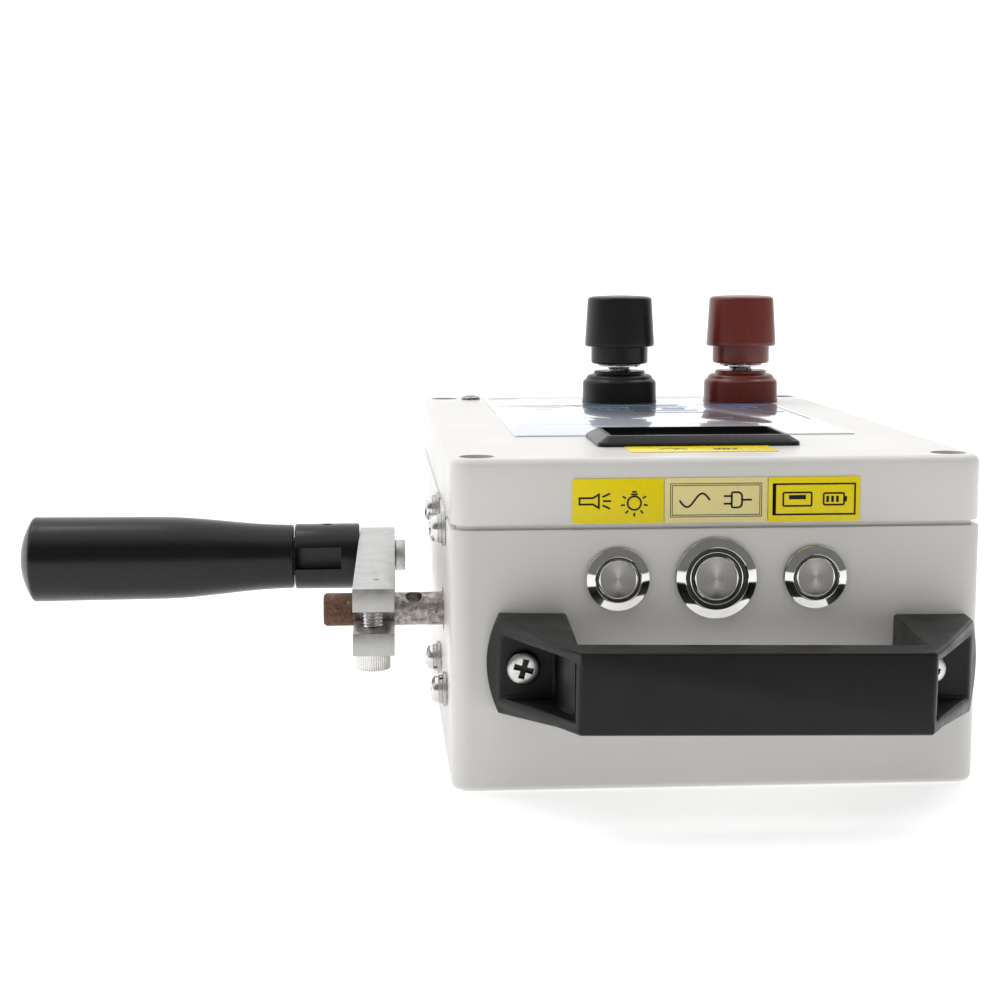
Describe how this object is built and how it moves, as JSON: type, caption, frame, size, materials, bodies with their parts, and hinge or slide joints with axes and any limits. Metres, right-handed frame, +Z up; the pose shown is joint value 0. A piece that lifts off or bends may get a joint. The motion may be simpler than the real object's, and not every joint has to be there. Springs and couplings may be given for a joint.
{
  "type": "hand-crank generator power box",
  "caption": "Portable generator box cranked by a folding handle, with push switches, panel meter, binding posts and a carry handle.",
  "frame": {"origin": "centre of the case's flat underside, on the surface it stands on", "axes": "+Z up, -Y out of the switch face, -X out of the crank side"},
  "size_m": [0.234, 0.2373, 0.1075],
  "materials": {
    "case_plastic": "light warm grey moulded ABS, fine satin texture",
    "black_plastic": "satin black moulded plastic",
    "grip_bakelite": "polished black phenolic",
    "post_black": "semi-gloss black phenolic",
    "post_red": "semi-gloss red-brown phenolic",
    "nickel": "nickel plate, light scratches",
    "button_steel": "circular spun stainless steel",
    "zinc": "dull zinc plate",
    "shaft_steel": "bare turned steel with rust-brown film at its free end",
    "raw_aluminium": "bare extruded bar with saw and file marks",
    "brass": "plain turned brass",
    "gear_acetal": "natural acetal",
    "rubber": "black rubber",
    "label_film": "laminated printed tape",
    "sheet_film": "glossy laminated print",
    "meter_glass": "dark tinted window",
    "board": "solder-masked circuit board with parts",
    "motor_steel": "plated drawn steel",
    "copper": "enamelled windings on laminated steel",
    "cell_wrap": "blue heat-shrink sleeve",
    "white_plastic": "off-white moulded plastic",
    "clear_lens": "clear moulded lens"
  },
  "bodies": {
    "enclosure": {"base_case": "case_plastic", "lid_cover": "case_plastic", "lid_gasket": "rubber", "lid_screws": "nickel", "panel_screw": "zinc", "labels": "label_film", "top_sheet": "sheet_film", "carry_handle": "black_plastic", "handle_screws": "nickel", "handle_nuts": "zinc", "small_switch_bodies": "nickel", "main_switch_body": "nickel", "switch_nuts": "nickel", "switch_seals": "rubber", "meter_housing": "black_plastic", "meter_window": "meter_glass", "meter_board": "board", "black_post_base": "post_black", "red_post_base": "post_red", "post_studs": "brass", "post_nuts": "brass", "wall_screws": "nickel", "wall_lock_washers": "zinc", "wall_flat_washers": "zinc", "outer_plate": "raw_aluminium", "inner_plate": "raw_aluminium", "plate_pillars": "zinc", "small_screws": "nickel", "shaft_bearings": "nickel", "idler_shaft": "zinc", "generator_can": "motor_steel", "generator_cap": "black_plastic", "generator_magnets": "zinc", "battery_cells": "cell_wrap", "power_board": "board", "outlet_socket": "white_plastic", "usb_socket": "black_plastic", "lamp_housing": "black_plastic", "lamp_lens": "clear_lens"},
    "light_button_body": {"light_button": "button_steel"},
    "main_button_body": {"main_button": "button_steel"},
    "usb_button_body": {"usb_button": "button_steel"},
    "crank": {"crank_shaft": "shaft_steel", "crank_arm": "raw_aluminium", "clamp_screw": "nickel", "pivot_bolt": "zinc", "pivot_block": "black_plastic", "fold_pin": "zinc", "crank_gear": "brass"},
    "folding_spindle": {"grip_spindle": "zinc", "grip_clip": "zinc"},
    "turning_grip": {"crank_grip": "grip_bakelite"},
    "idler": {"idler_gear": "gear_acetal"},
    "rotor": {"rotor_shaft": "zinc", "rotor_pinion": "brass", "rotor_core": "copper"},
    "black_clamp": {"black_washer": "zinc"},
    "black_cap": {"black_knob": "post_black"},
    "red_clamp": {"red_washer": "zinc"},
    "red_cap": {"red_knob": "post_red"}
  },
  "joints": [
    {"name": "light_button_press", "type": "slide", "parent": "enclosure", "child": "light_button_body", "axis": [0, 1, 0], "range_m": [0, 0.0025], "stiffness_N_per_m": 400, "springref_m": -0.002},
    {"name": "main_button_press", "type": "slide", "parent": "enclosure", "child": "main_button_body", "axis": [0, 1, 0], "range_m": [0, 0.003], "stiffness_N_per_m": 400, "springref_m": -0.002},
    {"name": "usb_button_press", "type": "slide", "parent": "enclosure", "child": "usb_button_body", "axis": [0, 1, 0], "range_m": [0, 0.0025], "stiffness_N_per_m": 400, "springref_m": -0.002},
    {"name": "crank_spin", "type": "hinge", "parent": "enclosure", "child": "crank", "pos_m": [-0.0766, -0.0565, 0.0345], "axis": [1, 0, 0], "continuous": true},
    {"name": "idler_spin", "type": "hinge", "parent": "enclosure", "child": "idler", "pos_m": [-0.045, -0.0325, 0.0345], "axis": [1, 0, 0], "continuous": true},
    {"name": "rotor_spin", "type": "hinge", "parent": "enclosure", "child": "rotor", "pos_m": [-0.02, -0.0157, 0.0345], "axis": [1, 0, 0], "continuous": true},
    {"name": "grip_fold", "type": "hinge", "parent": "crank", "child": "folding_spindle", "pos_m": [-0.0893, 0.021, 0.0361], "axis": [0, 0, -1], "range_deg": [0, 90]},
    {"name": "grip_spin", "type": "hinge", "parent": "folding_spindle", "child": "turning_grip", "pos_m": [-0.138, 0.021, 0.0361], "axis": [1, 0, 0], "continuous": true},
    {"name": "black_clamp_lift", "type": "slide", "parent": "enclosure", "child": "black_clamp", "axis": [0, 0, 1], "range_m": [-0.0012, 0.003]},
    {"name": "black_knob_turn", "type": "hinge", "parent": "black_clamp", "child": "black_cap", "pos_m": [-0.0008, 0.072, 0.095], "axis": [0, 0, 1], "range_deg": [-432, 1080]},
    {"name": "red_clamp_lift", "type": "slide", "parent": "enclosure", "child": "red_clamp", "axis": [0, 0, 1], "range_m": [-0.0012, 0.003]},
    {"name": "red_knob_turn", "type": "hinge", "parent": "red_clamp", "child": "red_cap", "pos_m": [0.0366, 0.072, 0.095], "axis": [0, 0, 1], "range_deg": [-432, 1080]}
  ],
  "couplings": [
    {"joint": "idler_spin", "follows": "crank_spin", "ratio": -4},
    {"joint": "rotor_spin", "follows": "crank_spin", "ratio": 10},
    {"joint": "black_clamp_lift", "follows": "black_knob_turn", "m_per_rad": 0.00015915},
    {"joint": "red_clamp_lift", "follows": "red_knob_turn", "m_per_rad": 0.00015915}
  ]
}
